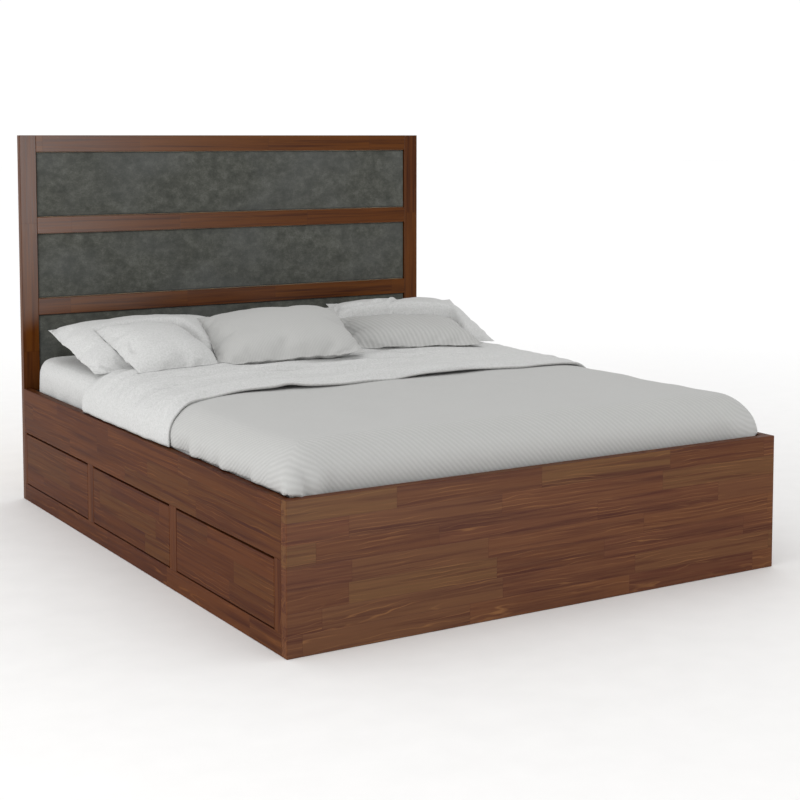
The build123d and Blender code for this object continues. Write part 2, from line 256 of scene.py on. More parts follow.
def glued_wood(name, along, across, stave, start, front, tones, seed, finish, tint_and_shade="ffffff"):
    """Finger-jointed pine staves glued edge to edge, with the stain and lacquer of its finish."""
    shader = Shader(name)
    length, width, depth = timber_axes(shader, along, across)
    depth = shader.minus(depth, front)
    level = shader.math("DIVIDE", shader.minus(width, start), stave)
    row = shader.plus(shader.math("FLOOR", level), seed)
    shift = shader.node("TexWhiteNoise", {"W": row}, noise_dimensions="1D").outputs["Value"]
    run = shader.plus(shader.math("DIVIDE", length, BLOCK_LENGTH), shader.times(shift, 37))
    cells = {"W": run, "Scale": 1.0, "Randomness": 0.8}
    blocks = shader.node("TexVoronoi", cells, voronoi_dimensions="1D", feature="F1")
    ends = shader.node("TexVoronoi", cells, voronoi_dimensions="1D", feature="DISTANCE_TO_EDGE")
    chance = list(shader.node("SeparateColor", {0: blocks.outputs["Color"]}).outputs)
    near_end = shader.span(ends.outputs["Distance"], 0.0008, 0.0026, 1, 0)
    from_middle = shader.math("ABSOLUTE", shader.minus(shader.math("FRACT", level), 0.5))
    joint = stave / 2
    near_edge = shader.span(shader.times(from_middle, stave), joint - 0.0011, joint - 0.0004)
    glue_line = shader.math("MAXIMUM", near_end, near_edge)

    ring = growth_rings(shader, length, width, depth, chance)
    late = shader.ramp(ring, ((0.0, "000000"), (0.76, "000000"), (0.9, "ffffff"), (1.0, "000000")))
    patches = shader.noise(shader.join(length, shader.times(width, 5), depth), 4.3, detail=2)
    figure = shader.times(late, shader.span(patches, 0.45, 0.68, 0.08, 1.0))
    fine = [shader.times(length, 4), shader.times(width, 150), shader.times(depth, 150)]
    fibre = shader.noise(shader.join(*fine), 1.0, detail=4, roughness=0.62)
    own_place = shader.plus(shader.times(length, 1.4), shader.times(chance[1], 9))
    coarse = [own_place, shader.times(width, 52), shader.times(depth, 52)]
    streak = shader.noise(shader.join(*coarse), 1.0, detail=4, roughness=0.55)

    dark, light, line, staves = (tones[key] for key in ("dark", "light", "line", "staves"))
    stops = [(place / (len(staves) - 1), code) for place, code in enumerate(staves)]
    base = shader.ramp(chance[0], stops)
    base = shader.mix(shader.span(streak, 0.46, 0.64, 0, 0.9), base, colour(dark))
    base = shader.mix(shader.span(fibre, 0.38, 0.7, 0, 0.5), base, colour(light))
    base = shader.mix(shader.times(figure, tones["figure"]), base, colour(line))
    base = shader.mix(shader.times(glue_line, 0.35), base, colour(dark))
    # Multiplies in the row's tint; on the frame's sides this tint is painted shade
    shader.set("Base Color", shader.mix(1.0, base, colour(tint_and_shade), "MULTIPLY"))
    smooth, rough, specular, relief_depth, strength = FINISHES[finish]
    relief = shader.plus(shader.times(fibre, 0.6), shader.times(figure, 0.5))
    relief = shader.minus(relief, glue_line)
    shader.set("Roughness", shader.span(fibre, 0.2, 0.8, smooth, rough))
    shader.set("Specular IOR Level", specular)
    shader.bump(relief, relief_depth, strength)
    return shader.material


WALNUT = {
    "staves": ("58331f", "614029", "5a3423", "653f26", "553021", "624429", "522e21"),
    "dark": "421f17",
    "light": "6b472d",
    "line": "8c623b",
    "figure": 0.75,
}
RAIL_WALNUT = {
    "staves": ("4d280e", "58300c", "502a0f", "5c340f"),
    "dark": "331507",
    "light": "63360e",
    "line": "744517",
    "figure": 0.3,
}
PINE = {
    "staves": ("cfa878", "d9b688", "c79c69", "dcbd92"),
    "dark": "b98a56",
    "light": "e2c9a0",
    "line": "b07a45",
    "figure": 0.55,
}


def plywood(name):
    """Birch ply: a pale face veneer with a quiet figure."""
    shader = Shader(name)
    place = shader.place()
    figure = shader.noise(shader.stretch(place, (3, 22, 22)), 1.0, detail=3, distortion=0.6)
    fibre = shader.noise(shader.stretch(place, (9, 240, 240)), 1.0, detail=3)
    base = shader.ramp(figure, ((0.3, "c9a678"), (0.5, "d6b88c"), (0.7, "cdac7e")))
    base = shader.mix(shader.span(fibre, 0.35, 0.7, 0, 0.35), base, colour("b99260"))
    shader.set("Base Color", base)
    shader.set("Roughness", shader.span(fibre, 0.2, 0.8, 0.6, 0.75))
    shader.bump(fibre, 0.0003, 0.5)
    return shader.material


def zinc_steel(name):
    """Bright zinc-plated sheet with rolling marks along the slide."""
    shader = Shader(name)
    place = shader.place()
    marks = shader.noise(shader.stretch(place, (6, 420, 420)), 1.0, detail=3)
    bloom = shader.noise(place, 42, detail=3)
    shader.set("Base Color", shader.ramp(bloom, ((0.35, "b4b7ba"), (0.65, "c8cacc"))))
    shader.set("Metallic", 1.0)
    shader.set("Roughness", shader.span(marks, 0.25, 0.75, 0.24, 0.44))
    shader.bump(marks, 0.0001, 0.4)
    return shader.material


def coated_steel(name):
    """Black powder coat with a fine orange-peel surface."""
    shader = Shader(name)
    place = shader.place()
    peel = shader.noise(place, 900, detail=2)
    bloom = shader.noise(place, 60)
    shader.set("Base Color", shader.ramp(bloom, ((0.4, "1c1c1d"), (0.6, "242425"))))
    shader.set("Roughness", shader.span(peel, 0.3, 0.7, 0.42, 0.55))
    shader.bump(peel, 0.0001, 0.6)
    return shader.material


def velvet(name):
    """Short grey pile, crushed into soft lighter and darker patches."""
    shader = Shader(name)
    place = shader.stretch(shader.place(), (1, 1, 1.25))
    patches = shader.noise(place, 24, detail=7, roughness=0.72)
    tufts = shader.noise(place, 170, detail=4, roughness=0.75)
    wide = shader.noise(place, 3.2, detail=2)
    pile = ((0.32, "3a3c37"), (0.46, "474843"), (0.56, "52534d"), (0.7, "61625d"))
    base = shader.ramp(patches, pile)
    base = shader.mix(shader.span(tufts, 0.4, 0.72, 0, 0.6), base, colour("343630"))
    base = shader.mix(shader.span(wide, 0.42, 0.68, 0, 0.35), base, colour("5a5c5c"))
    shader.set("Base Color", base)
    shader.set("Roughness", 0.85)
    shader.set("Specular IOR Level", 0.1)
    shader.set("Sheen Weight", 0.2)
    shader.set("Sheen Roughness", 0.45)
    shader.bump(shader.plus(tufts, patches), 0.0009, 0.6)
    return shader.material


THREAD_PITCH = 0.0016


def weave(shader, place):
    """Fine plain weave, as a height from 0 to 1."""
    parts = shader.split(place)
    turns = [shader.times(parts[axis], math.tau / THREAD_PITCH) for axis in "XY"]
    threads = [shader.math("SINE", turn) for turn in turns]
    return shader.span(shader.times(*threads), -1, 1)


def matt_cotton(shader, base):
    """Gives a cotton cover its colour and the finish that all of them share."""
    shader.set("Base Color", base)
    shader.set("Roughness", 0.9)
    shader.set("Specular IOR Level", 0.1)
    shader.set("Sheen Weight", 0.08)


def speckled_cotton(name):
    """White cotton with a scattered grey fleck."""
    shader = Shader(name)
    place = shader.place()
    fleck = shader.noise(place, 180, detail=4, roughness=0.75)
    cloud = shader.noise(place, 50, detail=3, roughness=0.6)
    base = shader.ramp(fleck, ((0.38, "b8b9b7"), (0.5, "c2c2c1"), (0.6, "c9c9c8")))
    base = shader.mix(shader.span(cloud, 0.4, 0.7, 0, 0.35), base, colour("bbbcba"))
    matt_cotton(shader, base)
    relief = shader.plus(shader.times(fleck, 0.6), weave(shader, place))
    shader.bump(relief, 0.0004, 0.35)
    return shader.material


def ribbed_cotton(name, pitch, slant, tones, depth):
    """Cotton with fine woven ribs that run at a slant, in degrees, to the cloth's edge."""
    shader = Shader(name)
    place = shader.cloth()
    parts = shader.split(place)
    angle = math.radians(slant)
    across = shader.times(parts["X"], math.cos(angle))
    across = shader.math("MULTIPLY_ADD", parts["Y"], math.sin(angle), across)
    wander = shader.minus(shader.noise(place, 7, detail=1), 0.5)
    across = shader.math("MULTIPLY_ADD", wander, pitch * 0.8, across)
    rib = shader.span(shader.math("SINE", shader.times(across, math.tau / pitch)), -1, 1)
    slub = shader.noise(shader.stretch(place, (90, 90, 90)), 1.0, detail=3)
    # The first tone is painted shade in the hollows between the ribs, the second painted light on
    # their crests, over the ribs' bump
    hollow, rib_crest_light, slubs = (colour(code) for code in tones)
    base = shader.mix(rib, hollow, rib_crest_light)
    base = shader.mix(shader.span(slub, 0.35, 0.75, 0, 0.35), base, slubs)
    matt_cotton(shader, base)
    relief = shader.plus(rib, shader.times(weave(shader, place), 0.12))
    shader.bump(shader.math("MULTIPLY_ADD", slub, 0.2, relief), depth)
    return shader.material


def ticking(name):
    """The mattress cover under the sheet: white knit with a quilted diamond pattern."""
    shader = Shader(name)
    parts = shader.split(shader.place())
    waves = []
    for way in (1, -1):
        slope = shader.math("MULTIPLY_ADD", parts["Y"], way, parts["X"])
        waves.append(shader.math("ABSOLUTE", shader.math("SINE", shader.times(slope, 22))))
    quilt = shader.math("MINIMUM", *waves)
    # The quilting's valleys are painted darker: painted shade in the stitched hollows
    shader.set("Base Color", shader.ramp(quilt, ((0.0, "cfcdc8"), (0.3, "e3e1dc"))))
    shader.set("Roughness", 0.9)
    shader.bump(quilt, 0.004, 0.6)
    return shader.material


# ---------------------------------------------------------------- mesh helpers


def new_piece(name, points, faces, materials):
    """Makes a smooth-shaded piece from points and faces."""
    mesh = bpy.data.meshes.new(name)
    corners = [tuple(map(int, face)) for face in faces]
    mesh.from_pydata([tuple(point) for point in points], [], corners)
    mesh.update()
    mesh.shade_smooth()
    piece = bpy.data.objects.new(name, mesh)
    SCENE.collection.objects.link(piece)
    for material in materials:
        mesh.materials.append(material)
    return piece


def get_points(piece):
    """The places of a piece's vertices, one row each."""
    points = np.zeros(len(piece.data.vertices) * 3)
    piece.data.vertices.foreach_get("co", points)
    return points.reshape(-1, 3)


def set_points(piece, points):
    """Moves a piece's vertices."""
    piece.data.vertices.foreach_set("co", points.astype(np.float32).ravel())
    piece.data.update()


def get_normals(piece):
    """The directions in which a piece's vertices face, one row each."""
    normals = np.zeros(len(piece.data.vertices) * 3, np.float32)
    piece.data.vertices.foreach_get("normal", normals)
    return normals.reshape(-1, 3)


def set_cloth(piece, places):
    """Stores where each vertex is on the fabric's flat cut."""
    layer = piece.data.attributes.new("cloth", "FLOAT_VECTOR", "POINT")
    flat = np.zeros((len(places), 3), np.float32)
    flat[:, :2] = places
    layer.data.foreach_set("vector", flat.ravel())


def apply_modifiers(piece):
    """Turns what a piece's modifiers make of its mesh into its mesh."""
    graph = bpy.context.evaluated_depsgraph_get()
    mesh = bpy.data.meshes.new_from_object(piece.evaluated_get(graph), depsgraph=graph)
    piece.modifiers.clear()
    piece.data = mesh
    mesh.shade_smooth()


def grid_faces(rows, columns, first=0, flip=False):
    """Quads of a grid of vertices that are numbered row by row."""
    row, column = np.meshgrid(np.arange(rows - 1), np.arange(columns - 1), indexing="ij")
    corner = (first + row * columns + column).ravel()
    quads = np.stack([corner, corner + 1, corner + columns + 1, corner + columns], 1)
    return quads[:, ::-1] if flip else quads


def slab_faces(rows, columns):
    """Quads that close two equal grids to a slab: the first grid, the rim and the second grid."""
    total = rows * columns
    border = np.r_[
        np.arange(columns),
        np.arange(1, rows) * columns + columns - 1,
        (rows - 1) * columns + np.arange(columns - 2, -1, -1),
        np.arange(rows - 2, 0, -1) * columns,
    ]
    after = np.roll(border, -1)
    rim = np.stack([after, border, border + total, after + total], 1)
    return grid_faces(rows, columns), rim, grid_faces(rows, columns, total, flip=True)


def ripples(points, wavelength, seed, count=14):
    """Smooth random waves of about unit height, the same in each run."""
    chance = np.random.default_rng(seed)
    directions = chance.normal(size=(count, points.shape[-1]))
    directions /= np.linalg.norm(directions, axis=1, keepdims=True)
    lengths = wavelength * chance.uniform(0.7, 1.5, count)
    angles = points @ (directions / lengths[:, None]).T * math.tau
    angles = angles + chance.uniform(0, math.tau, count)
    return np.sin(angles).sum(-1) / math.sqrt(count / 2)


def ease(value, low, high):
    """0 below low, 1 above high, and smooth between them."""
    share = np.clip((value - low) / (high - low), 0, 1)
    return share * share * (3 - 2 * share)


def hump(value, middle, width):
    """A smooth hump of height 1."""
    return np.exp(-(((value - middle) / width) ** 2))


def tree_of(piece):
    """A piece's faces, ready for rays."""
    mesh = piece.data
    return BVHTree.FromPolygons([v.co for v in mesh.vertices], [p.vertices for p in mesh.polygons])


# ---------------------------------------------------------------- mattress and fitted sheet


def remeshed_copy(node, name, voxel):
    """An evenly meshed copy of a CAD node, to be worked on as cloth or foam."""
    piece = bpy.data.objects.new(name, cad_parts[node].data.copy())
    SCENE.collection.objects.link(piece)
    piece.data.materials.clear()
    remesh = piece.modifiers.new("remesh", "REMESH")
    remesh.mode = "VOXEL"
    remesh.voxel_size = voxel
    apply_modifiers(piece)
    return piece


def rebuilt(piece, points, faces):
    """The same piece with only the faces given, and without loose vertices."""
    used = sorted({index for face in faces for index in face})
    place = {index: number for number, index in enumerate(used)}
    mesh = bpy.data.meshes.new(piece.name)
    corners = [[place[index] for index in face] for face in faces]
    mesh.from_pydata([tuple(points[index]) for index in used], [], corners)
    mesh.update()
    mesh.shade_smooth()
    piece.data = mesh
    return piece


# Radius of the softer round of the mattress's upper edge
MATTRESS_EDGE = 0.085
# The core lies this far inside the CAD mattress, and the sheet this far outside it
CORE_INSET = 0.0015
SHEET_GAP = 0.0024
# How far the top has dropped at this distance from the middle
CROWN = 0.018
CROWN_REACH = 0.76


def crown_drop(x, y):
    """How much lower the bed's soft top is towards its sides, less so at the foot end."""
    aside = np.minimum(np.abs(x) / CROWN_REACH, 1.03)
    footward = np.clip((-y - 0.3) / 0.6, 0, 1)
    return CROWN * aside**9 * (1 - 0.4 * footward)


def soft_edge(points, inset):
    """Presses the mattress's upper edge to a softer round, mostly where the duvet covers it."""
    reach = np.array([MATTRESS_HIGH.x, (MATTRESS_HIGH.y - MATTRESS_LOW.y) / 2]) - inset
    middle = np.array([0, (MATTRESS_HIGH.y + MATTRESS_LOW.y) / 2])
    beyond = np.clip(np.abs(points[:, :2] - middle) - (reach - MATTRESS_EDGE), 0, MATTRESS_EDGE)
    beyond = np.minimum(np.hypot(*beyond.T), MATTRESS_EDGE)
    drop = MATTRESS_EDGE - np.sqrt(MATTRESS_EDGE**2 - beyond**2)
    covered = ease(-points[:, 1], -FOLD_Y - 0.02, 0.06 - FOLD_Y)
    drop = drop * (0.2 + 0.6 * covered) + crown_drop(points[:, 0], points[:, 1]) * covered
    points[:, 2] -= drop * ease(points[:, 2], MATTRESS_TOP - 0.18, MATTRESS_TOP - 0.03)
    return points


def make_mattress():
    """The foam core, and over it a fitted sheet with the soft creases of an elastic hem."""
    core = remeshed_copy("mattress", "mattress_core", 0.018)
    points = get_points(core)
    points = soft_edge(points - get_normals(core) * CORE_INSET, CORE_INSET)
    set_points(core, points)
    core.data.materials.append(ticking("mattress_ticking"))
    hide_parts("mattress")
    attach(core, "bed")

    cover = remeshed_copy("mattress", "fitted_sheet", 0.011)
    points, normals = get_points(cover), get_normals(cover).astype(float)
    side = 1 - np.abs(normals[:, 2])
    drop = np.clip(MATTRESS_TOP - points[:, 2], 0, None)
    folds = ripples(points * (1, 1, 0.25), 0.09, 5) * side * ease(drop, 0.02, 0.16) * 0.0022
    soft = ripples(points, 0.3, 6) * 0.0012 * (1 - 0.5 * side)
    points = soft_edge(points, 0)
    points += normals * (folds + soft + SHEET_GAP)[:, None]
    set_points(cover, points)
    keep = [p.vertices[:] for p in cover.data.polygons if p.normal.z > -0.5]
    cover = rebuilt(cover, points, keep)
    solid = cover.modifiers.new("thickness", "SOLIDIFY")
    solid.thickness = SHEET_T
    solid.offset = -1
    apply_modifiers(cover)
    cover.data.materials.append(MATERIALS["white_speckled_cotton"])
    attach(cover, "bed")
    return cover


# ---------------------------------------------------------------- duvet

# All of these are of the duvet's middle surface. SHOULDER is its radius over the mattress's edges.
SHOULDER = 0.088
DUVET_MID_TOP = MATTRESS_TOP + 0.0095
DUVET_REACH = SIDE_X + 0.0025
FOOT_REACH = -FOOT_Y - 0.022
BOARD_GAP = 0.001
DROP = DUVET_MID_TOP - BOARD_TOP - BOARD_GAP
# How far the foot end goes down behind the footboard
TUCK = 0.045
# Where the duvet turns back, where its head hem comes to lie, and how high above the lower layer
FOLD_Y = DUVET_HIGH.y - DUVET_T / 2 - LAYER_PITCH / 2
HEM_Y = -0.216
HEM_LIFT = 0.0085
# Where the hem is kicked up
PUCKER_X = -0.39
# The duvet gets thinner over this distance from its rim
RIM_WIDTH = 0.009


def bend(beyond, radius):
    """How far out and how far down cloth gets that goes over an edge of the given radius."""
    quarter = math.pi / 2
    angle = np.clip(beyond / radius, 0, quarter)
    straight = np.clip(beyond - radius * quarter, 0, None)
    return radius * np.sin(angle), radius * (1 - np.cos(angle)) + straight


def drop_length(reach, drop):
    """Length of cloth from the middle of the bed to a hem that hangs by the given drop."""
    return reach - SHOULDER + SHOULDER * math.pi / 2 + drop - SHOULDER


def duvet_rows(step):
    """Each row's place towards the head, height above the lower layer, and share turned back."""
    foot = -drop_length(FOOT_REACH, DROP + TUCK)
    rows = [(along, 0.0, 0.0) for along in np.arange(foot, FOLD_Y, step)]
    radius = LAYER_PITCH / 2
    for angle in np.linspace(0, math.pi, 8):
        rows.append((FOLD_Y + radius * math.sin(angle), radius * (1 - math.cos(angle)), 0.0))
    for share in np.arange(step, FOLD_Y - HEM_Y, step) / (FOLD_Y - HEM_Y):
        rows.append((FOLD_Y, LAYER_PITCH, share))
    rows.append((FOLD_Y, LAYER_PITCH, 1.0))
    return np.array(rows)


def duvet_middle(across, rows):
    """The middle surface of the duvet for every cloth place across and along."""
    side = np.abs(across)
    edge = ease(side, 0.62, 0.86)
    hem = HEM_Y - 0.046 * edge * (across < 0) + 0.02 * ease(across, 0.2, 0.7)
    hem = hem + 0.006 * np.sin(across * 9.1) + 0.004 * np.sin(across * 23 + 1)
    along, lift, share = rows.T[:, :, None]
    along = along + share * (hem - FOLD_Y) + 0.012 * edge * (along > FOLD_Y - 0.02) * (1 - share)
    near_hem = ease(share, 0.72, 1.0)
    gap = 0.0022 * (1 + np.sin(across * 14 + 0.6)) * (1 - edge)
    lift = lift + near_hem * (HEM_LIFT + gap - LAYER_PITCH)

    # Distances beyond the start of the rounded edges, of the sides and of the foot end
    half = drop_length(DUVET_REACH, DROP)
    reach, radius = DUVET_REACH + lift, SHOULDER + lift
    wide = side * (1 + math.pi / 2 * lift / half)
    a = wide - (reach - radius)
    b = -along - (FOOT_REACH - radius)
    in_corner = (a > 0) & (b > 0)
    beyond = np.maximum(np.maximum(a, b), 0)
    ratio = np.minimum(a, b) / np.maximum(beyond, 1e-9)
    theta = np.where(a >= b, ratio, 2 - ratio) * math.pi / 4
    out, down = bend(beyond, radius)
    fall = np.clip(down / DROP, 0, 1)
    # The left foot corner gets sharper towards the boards, where spare cloth stands out as a ridge
    left = across < 0
    power = np.where(left, 2.5 + 5.5 * ease(fall, 0.15, 1.0), 3 + 3 * fall)
    cosine, sine = np.cos(theta).clip(1e-6), np.sin(theta).clip(1e-6)
    square = (cosine**power + sine**power) ** (-1 / power)
    ridge = 1 + 0.12 * left * hump(theta, math.pi / 4, 0.13) * ease(fall, 0.2, 1.0)
    across_out = np.where(in_corner, out * cosine * square * ridge, np.where(a > 0, out, 0))
    along_out = np.where(in_corner, out * sine * square * ridge, np.where(b > 0, out, 0))
    x = (np.minimum(wide, reach - radius) + across_out) * np.sign(across)
    y = -(np.minimum(-along, FOOT_REACH - radius) + along_out)
    y = y - 0.014 * ease(np.abs(x), 0.69, 0.80) * ease(fall, 0.2, 1.0) * (b > 0)
    crown = crown_drop(x, y)
    z = DUVET_MID_TOP + lift - down * (1 - crown / DROP) - crown
    low = BOARD_TOP + BOARD_GAP + DUVET_T * 0.25
    over_board = ease(np.abs(x), SIDE_X - 0.045, SIDE_X - 0.02)
    z = np.where(z < low, low * over_board + z * (1 - over_board), z)

    # Where the cloth is on the flat cut. Round a corner, it follows whichever drop it belongs to.
    arc = 0.5 * SHOULDER
    cut_u = np.where(in_corner & (b > a), reach - radius + arc * (math.pi / 2 - theta), wide)
    cut_v = np.where(in_corner & (a >= b), -(FOOT_REACH - radius) - arc * theta, along)
    cut = np.stack([cut_u * np.sign(across), cut_v], -1)
    return np.stack([x, y, z], -1), {"fall": fall, "lift": lift, "share": share, "cut": cut}


def duvet_relief(points, state):
    """How far the filling and the creases push the cloth outwards."""
    x, y = points[..., 0], points[..., 1]
    flat = points[..., :2]
    fall = state["fall"]
    top = 1 - ease(fall, 0.0, 0.5)
    turned = ease(state["lift"], 0.004, 0.008)
    swell = 0.0012 * ripples(flat, 0.42, 1) + 0.0006 * ripples(flat, 0.16, 2)
    relief = (0.0016 + swell) * top
    # Slack waves down the sides, mostly near the turned-back part
    run = np.stack([y, np.zeros_like(y)], -1)
    waves = ripples(run, 0.085, 3) + 0.6 * ripples(run, 0.21, 4)
    slack = (0.0018 + 0.0016 * ease(y, -0.62, -0.34)) * (1 - turned) + 0.0008 * turned
    relief += slack * waves * ease(fall, 0.3, 1.0) * (np.abs(x) > 0.7)
    # Soft creases along the turn-back, parallel to its hem
    creases = ripples(np.stack([x * 0.9, y * 7.5], -1), 0.4, 8)
    # The filling gathers in a roll above the hem, with a hollow behind it, less so on the right
    roll = hump(state["share"], 0.915, 0.055)
    hollow = hump(state["share"], 0.79, 0.06)
    plump = (1 - 0.75 * ease(x, 0.25, 0.5)) * (0.85 + 0.15 * np.sin(x * 11 + 1))
    gather = plump * (0.016 * roll - 0.009 * hollow)
    creases *= (1 - 0.6 * roll) * (1 - 0.65 * ease(x, 0.3, 0.6))
    relief += turned * top * (0.006 * creases + 0.003 + gather)
    # Pleats on the foot drop beside each corner
    inward = SIDE_X - np.abs(x)
    pleats = hump(inward, 0.026, 0.012) - hump(inward, 0.048, 0.012)
    pleats += 0.8 * hump(inward, 0.085, 0.02) - 0.4 * hump(inward, 0.13, 0.02)
    pleats *= np.where(x < 0, 1, 0.35)
    relief += 0.0065 * pleats * ease(fall, 0.3, 0.85) * (y < FOOT_Y + 0.12)
    return relief


def normals_of(surface):
    """Unit normals of a grid of points."""
    normals = np.cross(np.gradient(surface, axis=1), np.gradient(surface, axis=0))
    return normals / (np.linalg.norm(normals, axis=-1, keepdims=True) + 1e-12)


def make_duvet():
    """The duvet, ribbed outside and speckled inside, with its head end turned back over itself."""
    step = 0.011
    half = drop_length(DUVET_REACH, DROP)
    across = np.linspace(-half, half, int(2 * half / step) + 1)
    rows = duvet_rows(step)
    points, state = duvet_middle(across[None, :], rows)
    kick = hump(points[..., 0], PUCKER_X, 0.04) * ease(state["share"], 0.88, 1.0)
    points[..., 2] += 0.009 * kick
    points[..., 1] += 0.016 * kick

    # Beyond the fold the cloth lies upside down, so there its relief goes against its normals
    normals = normals_of(points)
    upper = (np.arange(len(rows)) > np.argmax(rows[:, 1] > LAYER_PITCH / 2))[:, None, None]
    outward = np.where(upper, -normals, normals)
    points = points + outward * duvet_relief(points, state)[..., None]
    normals = normals_of(points)

    middle_line = points[:, len(across) // 2]
    count = np.cumsum(np.r_[0, np.linalg.norm(np.diff(middle_line, axis=0), axis=1)])
    from_hem = np.minimum(count, count[-1] - count)[:, None]
    from_side = (half - np.abs(across))[None, :]
    rim = np.clip(np.minimum(from_hem, from_side) / RIM_WIDTH, 0, 1)
    thickness = DUVET_T * (0.4 + 0.6 * np.sqrt(1 - (1 - rim) ** 2))[..., None]
    outer = (points + normals * thickness / 2).reshape(-1, 3)
    inner = (points - normals * thickness / 2).reshape(-1, 3)
    outer_faces, rim_faces, inner_faces = slab_faces(*points.shape[:2])
    faces = np.concatenate([outer_faces, rim_faces, inner_faces])
    covers = (MATERIALS["grey_ribbed_cotton"], MATERIALS["white_speckled_cotton"])
    duvet = new_piece("turned_back_duvet", np.concatenate([outer, inner]), faces, covers)
    kinds = np.zeros(len(faces), np.int32)
    kinds[len(outer_faces) + len(rim_faces) :] = 1
    duvet.data.polygons.foreach_set("material_index", kinds)
    cut = state["cut"].reshape(-1, 2)
    set_cloth(duvet, np.concatenate([cut, cut]))
    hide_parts("duvet")
    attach(duvet, "bed")
    return duvet


# ---------------------------------------------------------------- pillows

# Centre; turn, tilt and roll in degrees; outline; heights above and below it; share of filling;
# how much the seams draw in halfway along each side; how far the filling has sunk to the front
PILLOWS = {
    "back_left": (
        (-0.478, 0.640, 0.586), (0, 12, 0), (0.640, 0.470), (0.077, 0.030), 0.8, 0.01, 0.1
    ),
    "front_left": (
        (-0.547, 0.465, 0.602), (0, 14, 0), (0.312, 0.420), (0.060, 0.030), 0.7, 0.015, 0.35
    ),
    "centre": (
        (-0.113, 0.414, 0.623), (-15, 13.5, -3.2), (0.510, 0.465), (0.064, 0.048), 0.7, 0.04, 0.2
    ),
    "back_right": (
        (0.549, 0.615, 0.606), (-11.5, 13.5, 0), (0.525, 0.475), (0.050, 0.032), 0.7, 0.01, 0.1
    ),
    "front_right": (
        (0.442, 0.476, 0.592), (-18, 6.5, 0), (0.488, 0.450), (0.039, 0.030), 0.6, 0.03, 0.3
    ),
}
FABRICS = {
    "back_left": "white_speckled_cotton",
    "front_left": "white_speckled_cotton",
    "centre": "grey_striped_cotton",
    "back_right": "white_speckled_cotton",
    "front_right": "grey_ribbed_cotton",
}
# The ribs of this pillow run across it, not at the duvet's slant
OWN_LOOKS = {"front_right": "cross_ribbed_cotton"}
# Each pillow is dented by those that lie on it, so the topmost comes first
PRESSED_BY = {
    "centre": (),
    "front_left": ("centre",),
    "front_right": ("centre",),
    "back_left": ("front_left", "centre"),
    "back_right": ("front_right", "centre"),
}
# Between a pillow and what it touches
PILLOW_GAP = 0.0012
# Tucks in the upper side: middle (as shares of the half outline), length, depth, angle and width
TUCKS = {
    "front_left": (((-0.78, -0.35), 0.055, 0.007, 82, 0.010),),
    "back_right": (
        ((-0.34, 0.46), 0.022, 0.015, 15, 0.009),
        ((-0.08, 0.52), 0.055, 0.012, 51, 0.009),
        ((-0.68, 0.50), 0.05, 0.008, -14, 0.010),
    ),
}
# No crease moves the case by more than this
CREASE_LIMIT = 0.011
# How far below a point the rays that look for a pillow start, and a height above all the bedding
RAY_START = 0.6
OVERHEAD = 1.5


def filled_case(name, outline, heights, waist, slump, step):
    """A closed pillowcase of two layers that share the seam, rounded up by its filling."""
    columns, rows = int(outline[0] / step) | 1, int(outline[1] / step) | 1
    # Stations get closer towards the seam, where the case curves most
    angles = [np.linspace(-math.pi / 2, math.pi / 2, count) for count in (columns, rows)]
    u, v = np.meshgrid(*(np.sin(angle) for angle in angles))
    x = u * outline[0] / 2 * (1 - waist * (1 - v**2) * np.abs(u))
    y = v * outline[1] / 2 * (1 - 0.6 * waist * (1 - u**2) * np.abs(v))
    # The filling lies more towards the front edge
    sunk = (v + slump) / (1 + slump * v)
    body = ((1 - np.abs(u) ** 2.3) * (1 - np.abs(sunk) ** 2.3)) ** 0.6
    seam_wave = 0.002 * np.sin(9 * u + 2 * v + outline[0] * 40) * np.abs(v)
    seam_wave = seam_wave + 0.002 * np.sin(8 * v - u) * np.abs(u)
    upper = np.stack([x, y, seam_wave + heights[0] * body], -1).reshape(-1, 3)
    lower = np.stack([x, y, seam_wave - heights[1] * body], -1).reshape(-1, 3)
    seam = (np.maximum(np.abs(u), np.abs(v)) > 1 - 1e-9).ravel()
    number = np.where(seam, np.arange(len(upper)), -1)
    number[~seam] = len(upper) + np.arange((~seam).sum())
    under = number[grid_faces(rows, columns, flip=True)]
    faces = np.concatenate([grid_faces(rows, columns), under])
    points = np.concatenate([upper, lower[~seam]])
    piece = new_piece(name, points, faces, ())
    set_cloth(piece, points[:, :2])
    group = piece.vertex_groups.new(name="seam")
    group.add([int(index) for index in np.flatnonzero(seam)], 1, "REPLACE")
    return piece


def crease(piece):
    """Lets the case's slack cloth buckle under pressure, and keeps small creases only."""
    before = get_points(piece)
    cloth = piece.modifiers.new("cloth", "CLOTH")
    settings = cloth.settings
    settings.quality = 5
    settings.mass = 0.25
    settings.air_damping = 3
    settings.tension_stiffness = settings.compression_stiffness = 20
    settings.shear_stiffness = 8
    settings.bending_stiffness = 0.4
    settings.shrink_min = -0.05
    settings.use_pressure = True
    settings.uniform_pressure_force = 4
    settings.vertex_group_mass = "seam"
    settings.effector_weights.gravity = 0
    cloth.collision_settings.use_collision = False
    frames = 16
    cloth.point_cache.frame_end = frames
    for number in range(1, frames + 1):
        SCENE.frame_set(number)
    apply_modifiers(piece)
    SCENE.frame_set(1)
    moved = get_points(piece) - before
    length = np.linalg.norm(moved, axis=1, keepdims=True)
    moved *= CREASE_LIMIT * np.tanh(length / CREASE_LIMIT) / np.maximum(length, 1e-9)
    set_points(piece, before + moved)


